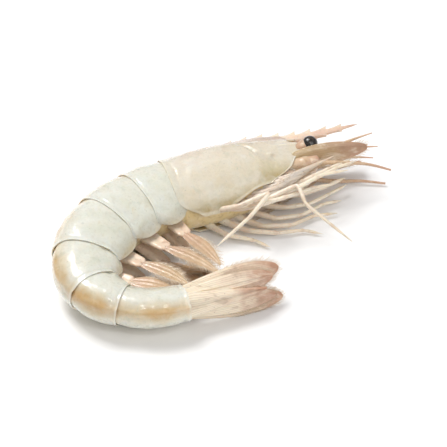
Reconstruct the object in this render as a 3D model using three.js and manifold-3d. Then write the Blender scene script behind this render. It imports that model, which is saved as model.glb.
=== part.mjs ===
// A whole raw white-leg shrimp, head on and shell on, lying on its left side with its abdomen curled round.
// Millimetres, +Z up. The origin is on the surface that it lies on, under the middle of the shrimp's box.
// The head points to +X and a little to +Y. The back is the outside of the curl, and the right side faces
// up. Places on the animal are given in body coordinates: x towards the head, y towards the back and z
// towards its right side, from a point on the body's axis. The distance s runs along that axis from the
// carapace's rear margin towards the tail, so the head has negative s.

import * as THREE from "three";
import { mergeVertices } from "three/addons/utils/BufferGeometryUtils.js";
import Module from "manifold-3d";

// How it lies
const CARAPACE_REAR = new THREE.Vector2(-11.864, 8.741); // plan of the axis at the carapace's rear margin
const HEAD_HEADING = 22.5; // degrees from +X towards +Y
const AXIS_HEIGHT = 7.95; // of the axis of carapace and front segments
const TAIL_AXIS_HEIGHT = 5.9;
const BODY_ROLL = 23; // degrees by which the back is turned up, in the carapace and front segments
const TAIL_ROLL = 30;
const LOWERING = [22, 58]; // stretch of s in which the axis comes down and the roll grows to the tail's

// Carapace and rostrum
const CARAPACE_LENGTH = 33;
const CARAPACE = { halfWidth: 7.4, back: 9.2, side: 9.8 }; // at its rear margin
const ROSTRUM_LENGTH = 17.5; // past the carapace's front margin
const ROSTRUM_TEETH = 8;

// Abdomen: each segment's length, its turn in degrees from the one in front of it, and its section
const SEGMENTS = [
  { length: 8.9, turn: 8, halfWidth: 7.4, back: 9.2, side: 9.4 },
  { length: 10.0, turn: 13, halfWidth: 7.4, back: 9.5, side: 9.8 },
  { length: 11.6, turn: 21, halfWidth: 7.2, back: 9.6, side: 9.4 },
  { length: 9.6, turn: 30, halfWidth: 6.6, back: 9.0, side: 8.6 },
  { length: 7.8, turn: 52, halfWidth: 5.8, back: 7.8, side: 7.2 },
  { length: 15.0, turn: 40, halfWidth: 4.9, back: 6.3, side: 5.6 },
];
const TAIL_TURN = 20;
const PLATE_STEP = 0.5; // height of a shell plate's rear rim over the next plate

const BODY_SIDES = 26;
const LIMB_SIDES = 6;
const BLADE_SIDES = 8;

const wasm = await Module();
wasm.setup();

const radians = THREE.MathUtils.degToRad;
const lerp = THREE.MathUtils.lerp;
const smooth = (value, low, high) => THREE.MathUtils.smoothstep(value, low, high);

// The body's axis. It is straight in the head, and turns evenly from each segment's middle to the next
// one's.

const bends = [{ s: 0, heading: 180 + HEAD_HEADING }];
let abdomenLength = 0;
for (const segment of SEGMENTS) {
  segment.start = abdomenLength;
  bends.push({ s: abdomenLength + segment.length / 2, heading: bends.at(-1).heading + segment.turn });
  abdomenLength += segment.length;
}
bends.push({ s: abdomenLength + 6, heading: bends.at(-1).heading + TAIL_TURN });

function heading(s) {
  const next = bends.findIndex((bend) => bend.s > s);
  if (next === 0) return radians(bends[0].heading);
  if (next < 0) return radians(bends.at(-1).heading);
  const [a, b] = [bends[next - 1], bends[next]];
  return radians(lerp(a.heading, b.heading, (s - a.s) / (b.s - a.s)));
}

const AXIS_STEP = 0.25;
const AXIS_END = 100;
const axisPlan = [CARAPACE_REAR.clone()];
for (let s = AXIS_STEP / 2; s < AXIS_END; s += AXIS_STEP) {
  const step = new THREE.Vector2(AXIS_STEP, 0).rotateAround(new THREE.Vector2(), heading(s));
  axisPlan.push(step.add(axisPlan.at(-1)));
}

function axisPoint(s) {
  const height = lerp(AXIS_HEIGHT, TAIL_AXIS_HEIGHT, smooth(s, ...LOWERING));
  if (s <= 0) {
    const back = new THREE.Vector2(s, 0).rotateAround(new THREE.Vector2(), heading(0)).add(CARAPACE_REAR);
    return new THREE.Vector3(back.x, back.y, height);
  }
  const row = Math.min(Math.floor(s / AXIS_STEP), axisPlan.length - 2);
  const plan = axisPlan[row].clone().lerp(axisPlan[row + 1], s / AXIS_STEP - row);
  return new THREE.Vector3(plan.x, plan.y, height);
}

const rollAt = (s) => lerp(BODY_ROLL, TAIL_ROLL, smooth(s, ...LOWERING));

// The matrix from body coordinates at s to the part's frame. Limbs are placed as if the body lay without
// its roll.
function bodyFrame(s, roll = rollAt(s)) {
  const reach = 0.5;
  const forward = axisPoint(s - reach).sub(axisPoint(s + reach)).normalize();
  const back = new THREE.Vector3(-forward.y, forward.x, 0).normalize();
  const right = new THREE.Vector3().crossVectors(forward, back).normalize();
  back.applyAxisAngle(forward, radians(roll));
  right.applyAxisAngle(forward, radians(roll));
  return new THREE.Matrix4().makeBasis(forward, back, right).setPosition(axisPoint(s));
}

// The head is rigid, and measured from the carapace's rear margin.
const headFrame = bodyFrame(-CARAPACE_LENGTH).setPosition(axisPoint(0));
const legFrame = bodyFrame(-CARAPACE_LENGTH, 0).setPosition(axisPoint(0));
const tailFrame = bodyFrame(abdomenLength);

// Shape helpers

// A closed tube of rows and sides whose vertices place(row, angle, radius) puts where they belong. The
// angle is 0 at the back and a quarter turn at the right side. The radius is 1 on the surface and 0 at an
// end's middle.
function loft(rows, sides, place) {
  const geometry = new THREE.CylinderGeometry(1, 1, 1, sides, rows);
  const position = geometry.getAttribute("position");
  const point = new THREE.Vector3();
  for (let i = 0; i < position.count; i++) {
    point.fromBufferAttribute(position, i);
    const row = Math.round((0.5 - point.y) * rows);
    const side = Math.round((Math.atan2(point.x, point.z) / (2 * Math.PI)) * sides);
    const put = place(row, (side / sides) * 2 * Math.PI, Math.round(Math.hypot(point.x, point.z)));
    position.setXYZ(i, put.x, put.y, put.z);
  }
  return geometry;
}

// A limb or blade along a smooth curve through points. width and thick give its half sizes at t from 0 to
// 1, and across is the direction of its width.
function sweep(points, { width, thick = width, across = [0, 0, 1], sides = LIMB_SIDES, rows = 8 }) {
  const curve = new THREE.CatmullRomCurve3(points.map((p) => new THREE.Vector3(...p)));
  const side = new THREE.Vector3(...across);
  return loft(rows, sides, (row, angle, radius) => {
    const t = row / rows;
    const along = curve.getTangentAt(t);
    const normal = new THREE.Vector3().crossVectors(side, along).normalize();
    const wide = new THREE.Vector3().crossVectors(along, normal);
    return curve
      .getPointAt(t)
      .addScaledVector(wide, radius * width(t) * Math.sin(angle))
      .addScaledVector(normal, radius * thick(t) * Math.cos(angle));
  });
}

const taper = (from, to) => (t) => lerp(from, to, t);
// The half width of a leaf-shaped blade, widest at peak, with a stalk and a tip of the given half widths.
const leaf = (half, peak = 0.45, stalk = 0.5, tip = 0.25) => (t) => {
  const rise = Math.sin((Math.PI / 2) * Math.min(t / peak, 1));
  const fall = Math.cos((Math.PI / 2) * Math.max((t - peak) / (1 - peak), 0));
  return t < peak ? lerp(stalk, half, rise) : lerp(tip, half, fall);
};

function ball(centre, radii, segments = 12) {
  const round = new THREE.SphereGeometry(1, segments, Math.round(segments * 0.66));
  return round.scale(...radii).translate(...centre);
}

function solidOf(geometry) {
  const bare = geometry.clone();
  bare.deleteAttribute("normal");
  bare.deleteAttribute("uv");
  const merged = mergeVertices(bare, 1e-4);
  const vertProperties = new Float32Array(merged.getAttribute("position").array);
  const triVerts = new Uint32Array(merged.index.array);
  const made = new wasm.Manifold(new wasm.Mesh({ numProp: 3, vertProperties, triVerts }));
  if (made.volume() > 0) return made;
  return new wasm.Manifold(new wasm.Mesh({ numProp: 3, vertProperties, triVerts: triVerts.reverse() }));
}

const solids = [];
const add = (geometry, frame) => solids.push(solidOf(frame ? geometry.applyMatrix4(frame) : geometry));

// Shell of carapace and abdomen, one closed tube with a step at each plate's rear rim

const BELLY_REACH = radians(40);

// The point of a section at an angle. tuck is how much the section narrows towards its lower edges, and
// hollow is how far the belly lies above them.
function shellSection(angle, { halfWidth, back, side, tuck, hollow }) {
  const up = Math.cos(angle);
  const out = Math.sin(angle);
  const narrow = up < 0 ? 1 - tuck * up * up : 1;
  const fromBelly = (Math.PI - Math.abs(angle)) / BELLY_REACH;
  const z = halfWidth * narrow * Math.sign(out) * Math.abs(out) ** 0.82;
  const y = up >= 0 ? back * up ** 0.94 : -side * (-up) ** 0.74 + hollow * Math.max(0, 1 - fromBelly ** 2);
  return [y, z];
}

// The carapace's section at x from its rear margin.
function carapaceSection(x) {
  const t = x / CARAPACE_LENGTH;
  const swell = Math.sin(Math.PI * Math.min(t * 1.15, 1));
  return {
    halfWidth: CARAPACE.halfWidth + 0.5 * swell - 3.2 * t ** 2.3,
    back: CARAPACE.back + 0.5 * swell - 3.3 * t ** 2.2,
    side: CARAPACE.side + 0.7 * swell - 3.0 * t ** 2.5,
    tuck: 0.34,
    hollow: 1.2,
  };
}

// A segment's section at u from 0, its front, to 1, its rear rim. Side plates are rounded lobes, lower in
// the middle.
function segmentSection(index, u) {
  const here = SEGMENTS[index];
  const next = SEGMENTS[Math.min(index + 1, SEGMENTS.length - 1)];
  const last = index === SEGMENTS.length - 1;
  const rise = PLATE_STEP * (1 - u ** 1.5);
  const arch = Math.sin(Math.PI * Math.min(Math.max(u, 0.02), 0.98));
  const lobe = last ? 0 : 0.17 * (1 - arch ** 0.55);
  const blend = last ? 0 : 0.75 * u;
  const narrowing = last ? 0.8 * u : 0;
  return {
    halfWidth: lerp(here.halfWidth, next.halfWidth, blend) - rise - narrowing,
    back: lerp(here.back, next.back, blend) - rise - narrowing,
    side: (lerp(here.side, next.side, blend) - rise) * (1 - lobe) - narrowing,
    tuck: 0.18,
    hollow: 0.24 * here.side,
  };
}

const bodyRings = [];
for (const x of [33, 30, 26, 21, 16, 11, 6, 2, 0]) {
  bodyRings.push({ s: -x, section: carapaceSection(x) });
}
SEGMENTS.forEach((segment, index) => {
  for (const u of [0.01, 0.2, 0.5, 0.8, 1]) {
    bodyRings.push({ s: segment.start + u * segment.length, section: segmentSection(index, u) });
  }
});

const FRONT_SLOPE = 8; // how far the carapace's lower front corner lies behind its upper one

function bodyShell() {
  return loft(bodyRings.length - 1, BODY_SIDES, (row, angle, radius) => {
    const { s, section } = bodyRings[row];
    const [y, z] = shellSection(angle, section);
    const below = Math.max(0, 0.35 - y / section.side) / 1.35;
    const slope = FRONT_SLOPE * Math.max(0, -s / CARAPACE_LENGTH) ** 3 * Math.min(1, below);
    return new THREE.Vector3(-slope, y * radius, z * radius).applyMatrix4(bodyFrame(s));
  });
}

// Rostrum: a toothed blade that rises from the carapace's back and runs out over the eyes
function rostrum() {
  const start = 12;
  const tip = CARAPACE_LENGTH + ROSTRUM_LENGTH;
  const ridge = (x) => carapaceSection(Math.min(x, CARAPACE_LENGTH)).back;
  const top = (x) => {
    const t = Math.max((x - CARAPACE_LENGTH) / ROSTRUM_LENGTH, 0);
    return ridge(x) + 1.4 * smooth(x, start, 27) - 1.6 * t;
  };
  const bottom = (x) => {
    const t = Math.max((x - CARAPACE_LENGTH) / ROSTRUM_LENGTH, 0);
    return lerp(ridge(x) - 1.5, top(tip) - 0.4, t);
  };
  const outline = new THREE.Shape();
  outline.moveTo(start, ridge(start) - 1);
  for (let x = start + 5; x < tip; x += 5) outline.lineTo(x, bottom(x));
  outline.lineTo(tip, top(tip) - 0.3);
  outline.lineTo(tip, top(tip));
  const pitch = (tip - 5 - (start + 5)) / ROSTRUM_TEETH;
  for (let tooth = ROSTRUM_TEETH; tooth > 0; tooth--) {
    const x = start + 5 + tooth * pitch;
    outline.lineTo(x - 0.2 * pitch, top(x) - 0.1);
    outline.lineTo(x, top(x) + 1.1);
    outline.lineTo(x - 0.9 * pitch, top(x - 0.9 * pitch));
  }
  outline.closePath();
  const depth = 1.3;
  return new THREE.ExtrudeGeometry(outline, { depth, bevelEnabled: false }).translate(0, 0, -depth / 2);
}

// Head: eyes on stalks, short feelers on their stems, long feelers broken off short, and a broad scale
// beside each
function head(side) {
  const eyeStalk = sweep([[28, 1.4, 1.5 * side], [32, 1.9, 2.8 * side], [34.9, 2.1, 4.1 * side]], {
    width: taper(1.7, 1.4),
    rows: 4,
  });
  const eye = ball([35.3, 2.1, 4.6 * side], [2.0, 2.0, 1.9], 10);
  const shortFeelerStem = sweep([[30, 0.4, 2 * side], [37, 0.2, 2.1 * side], [43, 0, 2.3 * side]], {
    width: taper(1.8, 1.0),
    rows: 5,
  });
  const shortFeeler = (spread) => {
    const route = [
      [42, 0.6 * spread, 2.3 * side],
      [47, 1.2 * spread - 0.2, 2.6 * side],
      [51.5, 1.9 * spread - 0.8, 3 * side],
    ];
    return sweep(route, { width: taper(0.6, 0.35), rows: 3 });
  };
  const longFeelerBase = sweep([[29, -1.4, 2.4 * side], [36, -2.8, 4.2 * side]], {
    width: taper(2.3, 1.6),
    sides: BLADE_SIDES,
    rows: 3,
  });
  const longFeeler = sweep(
    [[34, -3.2, 4.4 * side], [41, -5.2, 4.9 * side], [47, -7.2, 4.4 * side], [52, -9.8, 3.6 * side]],
    { width: taper(0.8, 0.4), rows: 7 },
  );
  const scale = sweep([[28, -0.6, 3 * side], [38, -1.8, 4.3 * side], [48.5, -2.6, 4 * side]], {
    width: leaf(3.1, 0.4, 1.6, 0.8),
    thick: taper(0.7, 0.4),
    sides: BLADE_SIDES,
    rows: 6,
  });
  for (const piece of [eyeStalk, eye, shortFeelerStem, shortFeeler(-1), shortFeeler(1)]) {
    add(piece, headFrame);
  }
  for (const piece of [longFeelerBase, longFeeler, scale]) add(piece, headFrame);
}

// Face and mouthparts under it, as one lump
function face() {
  add(ball([29, -2.5, 0], [8.5, 4.6, 4.3], 14), headFrame);
}

// Walking legs, from the front pair to the rear one, after the leg-like mouthparts before them. Each has
// its route on the right side and its own on the left, which lies folded near the surface below.
const LEG_THICKNESS = [1.0, 0.45];
const RIGHT_LEGS = [
  [[22, -5, -1], [30, -8, 1.2], [37, -7.4, 2.4], [43.5, -6.2, 2.4]],
  [[19.5, -6, -1], [26, -10.4, 1.6], [33, -10, 3.2], [39, -8.8, 3.6], [43.5, -8.2, 3.2]],
  [[16.5, -6.6, -1.2], [21.5, -12.2, 2.4], [27.2, -12.8, 4.5], [33, -11.3, 5], [40.5, -11.2, 4]],
  [[13, -6.6, -1.2], [18.5, -12.2, 2.6], [26.6, -12.8, 5.4], [26.4, -18, 3.5], [35, -26.5, -4.5]],
  [[9.5, -6.8, -1.2], [15, -12.6, 2], [23, -13.8, 3.4], [31, -12.8, 3], [37, -12.6, 2]],
  [[6, -6.8, -1.2], [11.5, -11.8, 2.6], [19.4, -13, 5.4], [12, -18.6, 5], [0.8, -24.4, 4]],
];
const LEFT_LEGS = [
  [[22, -4, -4.4], [30, -6.4, -4.2], [36.5, -6.8, -3.6], [42, -6.2, -3]],
  [[19.5, -5, -5], [25.5, -8.4, -5.2], [31.5, -9.2, -5.4], [37.5, -7.8, -5.2], [42.5, -6.2, -5.4]],
  [[16.5, -5.6, -5.4], [22, -10.6, -5.8], [28.5, -11.4, -6.2], [35, -9.6, -6.2], [39.5, -9.8, -6.6]],
  [[13, -6, -5.6], [18, -11.6, -6], [25, -13.4, -6.6], [31.5, -12, -6.8], [37, -13.2, -7]],
  [[9.5, -6.2, -5.6], [14, -11.6, -6], [20.5, -14.4, -6.7], [27, -15.6, -7], [31, -18.6, -7.2]],
  [[6, -6.2, -5.6], [9, -11.2, -6], [14.5, -14.6, -6.7], [17.5, -18.2, -7.1]],
];

function walkingLegs() {
  for (const route of [...RIGHT_LEGS, ...LEFT_LEGS]) {
    add(sweep(route, { width: taper(...LEG_THICKNESS), rows: 8 }), legFrame);
  }
}

// Swimmerets: a flat basal piece and two leaf-shaped blades under each of the first five segments. back is
// the angle at which the basal piece is swept back from straight down, and bend is the blades' turn from
// there.
const SWIMMERETS = [
  { back: -2, bend: -12, length: 20.5 },
  { back: -2, bend: -16, length: 22.5 },
  { back: 12, bend: -11, length: 20 },
  { back: 24, bend: -10, length: 17 },
  { back: 46, bend: -6, length: 14 },
];
const BASAL_SHARE = 0.36;
const BODY_DROOP = -3.2; // the roll carries the belly this far towards the surface below

function swimmerets(index, side) {
  const segment = SEGMENTS[index];
  const { back, bend, length } = SWIMMERETS[index];
  const frame = bodyFrame(segment.start + 0.45 * segment.length, 0);
  const base = BASAL_SHARE * length;
  const step = (from, angle, distance, z) => [
    from[0] - Math.sin(radians(angle)) * distance,
    from[1] - Math.cos(radians(angle)) * distance,
    BODY_DROOP + side * z,
  ];
  const root = [0, 3.6 - segment.side, BODY_DROOP + 1.6 * side];
  const knee = step(root, back, base, 2.6);
  const blade = (turn, share, half, lift) => {
    const reach = share * length - base;
    const start = step(knee, back + bend + turn, -1, 2.4);
    const middle = step(knee, back + bend + turn, 0.5 * reach, 2.8 + 0.5 * lift);
    const tip = step(knee, back + bend + 1.6 * turn, reach, 2.6 + lift);
    const width = leaf(half, 0.4, 0.9, 0.35);
    add(sweep([start, middle, tip], { width, thick: taper(0.6, 0.35), across: [1, 0, 0], rows: 6 }), frame);
  };
  const shape = { width: taper(2.0, 1.5), thick: taper(1.1, 0.9), across: [1, 0, 0], rows: 3 };
  add(sweep([root, step(root, back, 0.5 * base, 2), knee], shape), frame);
  blade(4, 1, 1.9, 0.2);
  if (index > 0) blade(-9, 0.84, 1.4, -1.2); // the first pair has one blade
}

// Tail fan: the pointed middle piece, and an inner and an outer blade on each side, nearly closed
const FAN_BLADES = [
  { length: 22, half: 2.7, spread: 0.5, start: 2.1, height: 1.1 },
  { length: 24, half: 3.1, spread: 2, start: 2.7, height: -0.4 },
];

function fanBlade({ length, half, spread, start, height }, side) {
  const at = (share, drop) => [
    -length * share * Math.cos(radians(spread)),
    height - drop,
    side * (start + length * share * Math.sin(radians(spread))),
  ];
  return sweep([at(0, 0), at(0.5, -0.3), at(1, 0.9)], {
    width: leaf(half, 0.55, 1.3, 0.7),
    thick: taper(0.85, 0.45),
    sides: BLADE_SIDES,
  });
}

function tailFan() {
  const middle = sweep([[3, 2.5, 0], [-6, 2.6, 0], [-19.5, 2.2, 0]], {
    width: taper(3.3, 0.5),
    thick: taper(1.9, 0.5),
    sides: BLADE_SIDES,
  });
  add(middle, tailFrame);
  for (const side of [-1, 1]) {
    add(ball([-0.4, -0.6, 3.1 * side], [2.6, 2.2, 1.9], 10), tailFrame); // the two blades' common base
    for (const blade of FAN_BLADES) add(fanBlade(blade, side), tailFrame);
  }
}

// The part: all pieces joined into one solid, cut off flat where it lies

add(bodyShell());
add(rostrum(), headFrame);
face();
for (const side of [-1, 1]) {
  head(side);
  SWIMMERETS.forEach((_, index) => swimmerets(index, side));
}
walkingLegs();
tailFan();

const SURFACE_DEPTH = 20;
const surface = solidOf(new THREE.BoxGeometry(400, 400, SURFACE_DEPTH).translate(0, 0, -SURFACE_DEPTH / 2));
const whole = wasm.Manifold.union(solids).subtract(surface);
const pieces = whole.decompose().sort((a, b) => b.volume() - a.volume());
const animal = pieces[0]; // without scraps

function geometryOf(solid) {
  const { numProp, vertProperties, triVerts } = solid.getMesh();
  const positions = new THREE.InterleavedBuffer(vertProperties, numProp);
  return new THREE.BufferGeometry()
    .setAttribute("position", new THREE.InterleavedBufferAttribute(positions, 3, 0))
    .setIndex(new THREE.BufferAttribute(triVerts, 1));
}

const shell = new THREE.MeshStandardMaterial({ color: 0xe2d8c8, roughness: 0.35, metalness: 0 });
const shrimp = new THREE.Mesh(geometryOf(animal), shell);
shrimp.name = "shrimp";

const part = new THREE.Group();
part.add(shrimp);
export default part;
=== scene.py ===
# The looks of a whole raw white-leg shrimp, head on and shell on, lying on its left side with its abdomen
# curled round. Sizes are millimetres until a mesh is made. Places on the animal are in body coordinates: x
# towards the head, y towards the back and z towards the right side. The distance s runs along the body's
# axis from the carapace's rear margin towards the tail.
import math

import bpy
import numpy as np
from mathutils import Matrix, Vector


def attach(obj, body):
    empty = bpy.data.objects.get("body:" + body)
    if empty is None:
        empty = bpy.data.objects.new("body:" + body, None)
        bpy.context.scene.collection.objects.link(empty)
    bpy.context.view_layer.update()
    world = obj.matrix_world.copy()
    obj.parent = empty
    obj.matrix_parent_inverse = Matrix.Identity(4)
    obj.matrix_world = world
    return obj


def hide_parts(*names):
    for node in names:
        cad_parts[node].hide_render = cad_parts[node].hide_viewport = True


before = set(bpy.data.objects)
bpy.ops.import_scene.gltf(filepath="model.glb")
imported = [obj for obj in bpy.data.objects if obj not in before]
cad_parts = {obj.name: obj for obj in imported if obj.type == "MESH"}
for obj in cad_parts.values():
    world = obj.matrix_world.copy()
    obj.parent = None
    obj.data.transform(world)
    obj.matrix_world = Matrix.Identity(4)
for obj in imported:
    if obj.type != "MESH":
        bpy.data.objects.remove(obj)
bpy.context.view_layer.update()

MM = 0.001

# How it lies
CARAPACE_REAR = np.array([-11.864, 8.741])
HEAD_HEADING = 22.5
AXIS_HEIGHT, TAIL_AXIS_HEIGHT = 7.95, 5.9
BODY_ROLL, TAIL_ROLL = 23, 30
LOWERING = (22, 58)

# Carapace, rostrum and abdomen
CARAPACE_LENGTH = 33
CARAPACE = {"half_width": 7.4, "back": 9.2, "side": 9.8}
ROSTRUM_LENGTH = 17.5
ROSTRUM_TEETH = 8
SEGMENTS = [
    {"length": 8.9, "turn": 8, "half_width": 7.4, "back": 9.2, "side": 9.4},
    {"length": 10.0, "turn": 13, "half_width": 7.4, "back": 9.5, "side": 9.8},
    {"length": 11.6, "turn": 21, "half_width": 7.2, "back": 9.6, "side": 9.4},
    {"length": 9.6, "turn": 30, "half_width": 6.6, "back": 9.0, "side": 8.6},
    {"length": 7.8, "turn": 52, "half_width": 5.8, "back": 7.8, "side": 7.2},
    {"length": 15.0, "turn": 40, "half_width": 4.9, "back": 6.3, "side": 5.6},
]
TAIL_TURN = 20


# Small helpers

def lerp(a, b, t):
    return a + (b - a) * t


def smooth(value, low, high):
    t = np.clip((np.asarray(value, float) - low) / (high - low), 0, 1)
    return t * t * (3 - 2 * t)


def bump(value, centre, spread):
    return np.exp(-(((value - centre) / spread) ** 2))


def unit(vectors):
    vectors = np.asarray(vectors, float)
    return vectors / np.linalg.norm(vectors, axis=-1, keepdims=True)


def ripple(points, wavelength, seed, waves=7):
    """Gentle random relief between about -1 and 1, with features of about the given size."""
    rng = np.random.default_rng(seed)
    total = 0
    for direction, phase in zip(rng.normal(size=(waves, 3)), rng.uniform(0, 2 * np.pi, waves)):
        total = total + np.sin(points @ (direction * 2 * np.pi / wavelength) + phase)
    return total / waves**0.5


# The body's axis, straight in the head and turning evenly from each segment's middle to the next one's

AXIS_STEP = 0.25
AXIS_END = 100
HEAD_WAY = np.radians(180 + HEAD_HEADING)
bend_s, bend_heading = [0.0], [180 + HEAD_HEADING]
abdomen_length = 0.0
for segment in SEGMENTS:
    segment["start"] = abdomen_length
    bend_s.append(abdomen_length + segment["length"] / 2)
    bend_heading.append(bend_heading[-1] + segment["turn"])
    abdomen_length += segment["length"]
bend_s.append(abdomen_length + 6)
bend_heading.append(bend_heading[-1] + TAIL_TURN)

AXIS_S = np.arange(0, AXIS_END, AXIS_STEP)
way = np.radians(np.interp(AXIS_S[:-1] + AXIS_STEP / 2, bend_s, bend_heading))
steps = AXIS_STEP * np.stack([np.cos(way), np.sin(way)], -1)
AXIS_PLAN = CARAPACE_REAR + np.vstack([np.zeros(2), np.cumsum(steps, axis=0)])


def axis_point(s):
    s = np.asarray(s, float)
    ahead = np.minimum(s, 0)
    x = np.interp(s, AXIS_S, AXIS_PLAN[:, 0]) + ahead * np.cos(HEAD_WAY)
    y = np.interp(s, AXIS_S, AXIS_PLAN[:, 1]) + ahead * np.sin(HEAD_WAY)
    return np.stack([x, y, lerp(AXIS_HEIGHT, TAIL_AXIS_HEIGHT, smooth(s, *LOWERING))], -1)


def body_frame(s, roll=None):
    """The point on the axis at s, and the unit directions towards head, back and right side there."""
    s = np.asarray(s, float)
    forward = unit(axis_point(s - 0.5) - axis_point(s + 0.5))
    back = unit(np.stack([-forward[..., 1], forward[..., 0], 0 * s], -1))
    right = np.cross(forward, back)
    if roll is None:
        roll = lerp(BODY_ROLL, TAIL_ROLL, smooth(s, *LOWERING))
    turn = np.radians(roll + 0 * s)[..., None]
    rolled_back = back * np.cos(turn) + right * np.sin(turn)
    return axis_point(s), forward, rolled_back, right * np.cos(turn) - back * np.sin(turn)


def place(points, frame_at):
    origin, forward, back, right = frame_at
    points = np.asarray(points, float)
    return origin + points[..., :1] * forward + points[..., 1:2] * back + points[..., 2:] * right


HEAD = (axis_point(0), *body_frame(-CARAPACE_LENGTH)[1:])
LEG_FRAME = (axis_point(0), *body_frame(-CARAPACE_LENGTH, 0)[1:])
TAIL = body_frame(abdomen_length)


# Meshes

def rested(points):
    """The same points, with what would sink into the surface pressed flat on it."""
    soft = 0.3
    height = points[:, 2]
    pressed = soft * np.exp(np.minimum(height - soft, 0) / soft)
    return np.column_stack([points[:, :2], np.where(height < soft, pressed, height)])


class Piece:
    """Gathers closed surfaces into one mesh, with numbers at its vertices that its material reads."""

    def __init__(self, *values):
        self.points, self.faces, self.count = [], [], 0
        self.values = {name: [] for name in values}

    def add(self, points, faces, **values):
        points = np.asarray(points, float).reshape(-1, 3)
        self.points.append(points)
        self.faces += [tuple(index + self.count for index in face) for face in faces]
        self.count += len(points)
        for name, kept in self.values.items():
            given = np.asarray(values.get(name, 0.0), float)
            kept.append(np.broadcast_to(given.reshape(-1) if given.size > 1 else given, len(points)))

    def build(self, name, material, sharp=50):
        mesh = bpy.data.meshes.new(name)
        mesh.from_pydata(rested(np.concatenate(self.points)) * MM, [], self.faces)
        for label, kept in self.values.items():
            attribute = mesh.attributes.new(label, "FLOAT", "POINT")
            attribute.data.foreach_set("value", np.concatenate(kept).astype(np.float32))
        mesh.polygons.foreach_set("use_smooth", [True] * len(mesh.polygons))
        mesh.set_sharp_from_angle(angle=math.radians(sharp))
        mesh.materials.append(material)
        mesh.update()
        made = bpy.data.objects.new(name, mesh)
        bpy.context.scene.collection.objects.link(made)
        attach(made, "root")
        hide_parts("shrimp")
        return made


def tube_faces(rows, sides):
    """Faces of a closed tube of rows of vertices, its two ends closed by one face each."""
    faces = []
    for row in range(rows - 1):
        for side in range(sides):
            a, b = row * sides + side, row * sides + (side + 1) % sides
            faces.append((a, b, b + sides, a + sides))
    faces.append(tuple(range(sides - 1, -1, -1)))
    faces.append(tuple(range((rows - 1) * sides, rows * sides)))
    return faces


def sheet_faces(rows, columns):
    """Faces of a thin closed sheet, each row of which runs over its outside and back over its inside."""
    sides = 2 * columns
    faces = []
    for row in range(rows - 1):
        for side in range(sides):
            a, b = row * sides + side, row * sides + (side + 1) % sides
            faces.append((a, b, b + sides, a + sides))
    for row, turn in ((0, -1), (rows - 1, 1)):
        for column in range(columns - 1):
            a, b = row * sides + column, row * sides + column + 1
            c, d = row * sides + sides - 2 - column, row * sides + sides - 1 - column
            faces.append((a, b, c, d)[::turn])
    return faces


def normals(grid):
    down, across = np.gradient(grid, axis=0), np.gradient(grid, axis=1)
    return unit(np.cross(down, across))


def add_sheet(piece, outer, inward, thickness, **values):
    """Adds a thin sheet with its outer side on a grid. inward is a point that lies on its inner side."""
    side = normals(outer)
    middle = outer[outer.shape[0] // 2, outer.shape[1] // 2]
    facing = side[outer.shape[0] // 2, outer.shape[1] // 2] @ (np.asarray(inward) - middle)
    side = side if facing > 0 else -side
    inner = outer + side * thickness
    both = np.concatenate([outer, inner[:, ::-1]], axis=1)
    faces = sheet_faces(outer.shape[0], outer.shape[1])
    if facing > 0:
        faces = [face[::-1] for face in faces]
    doubled = {
        name: np.concatenate([value, value[:, ::-1]], axis=1)
        for name, value in values.items()
    }
    piece.add(both, faces, **doubled)


def spline(points, count):
    """Evenly spaced points on a smooth curve through the given ones."""
    p = np.asarray(points, float)
    p = np.vstack([2 * p[0] - p[1], p, 2 * p[-1] - p[-2]])
    k = np.concatenate([[0], np.cumsum(np.linalg.norm(np.diff(p, axis=0), axis=1) ** 0.5)])
    fine = []
    for i in range(1, len(p) - 2):
        t = np.linspace(k[i], k[i + 1], 24)[:, None]

        def between(a, b, low, high):
            return (a * (high - t) + b * (t - low)) / (high - low)

        first = between(p[i - 1], p[i], k[i - 1], k[i])
        second = between(p[i], p[i + 1], k[i], k[i + 1])
        third = between(p[i + 1], p[i + 2], k[i + 1], k[i + 2])
        fine.append(between(between(first, second, k[i - 1], k[i + 1]), between(second, third, k[i], k[i + 2]), k[i], k[i + 1]))
    fine = np.concatenate(fine)
    reach = np.concatenate([[0], np.cumsum(np.linalg.norm(np.diff(fine, axis=0), axis=1))])
    wanted = np.linspace(0, reach[-1], count)
    return np.stack([np.interp(wanted, reach, fine[:, axis]) for axis in range(3)], -1)


def bent(points, count, corner=1.1):
    """Evenly spaced points along straight parts that are joined by short bends."""
    p = np.asarray(points, float)
    line = [p[:1]]
    t = np.linspace(0, 1, 7)[:, None]
    for before, here, after in zip(p[:-2], p[1:-1], p[2:]):
        start = here + unit(before - here) * min(corner, 0.4 * np.linalg.norm(before - here))
        stop = here + unit(after - here) * min(corner, 0.4 * np.linalg.norm(after - here))
        line.append((1 - t) ** 2 * start + 2 * t * (1 - t) * here + t**2 * stop)
    line = np.concatenate([*line, p[-1:]])
    reach = np.concatenate([[0], np.cumsum(np.linalg.norm(np.diff(line, axis=0), axis=1))])
    wanted = np.linspace(0, reach[-1], count)
    return np.stack([np.interp(wanted, reach, line[:, axis]) for axis in range(3)], -1)


def directions(centre, across):
    """Unit directions along a line, of its width and of its thickness."""
    along = unit(np.gradient(centre, axis=0))
    normal = unit(np.cross(np.asarray(across, float), along))
    return along, np.cross(along, normal), normal


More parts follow.
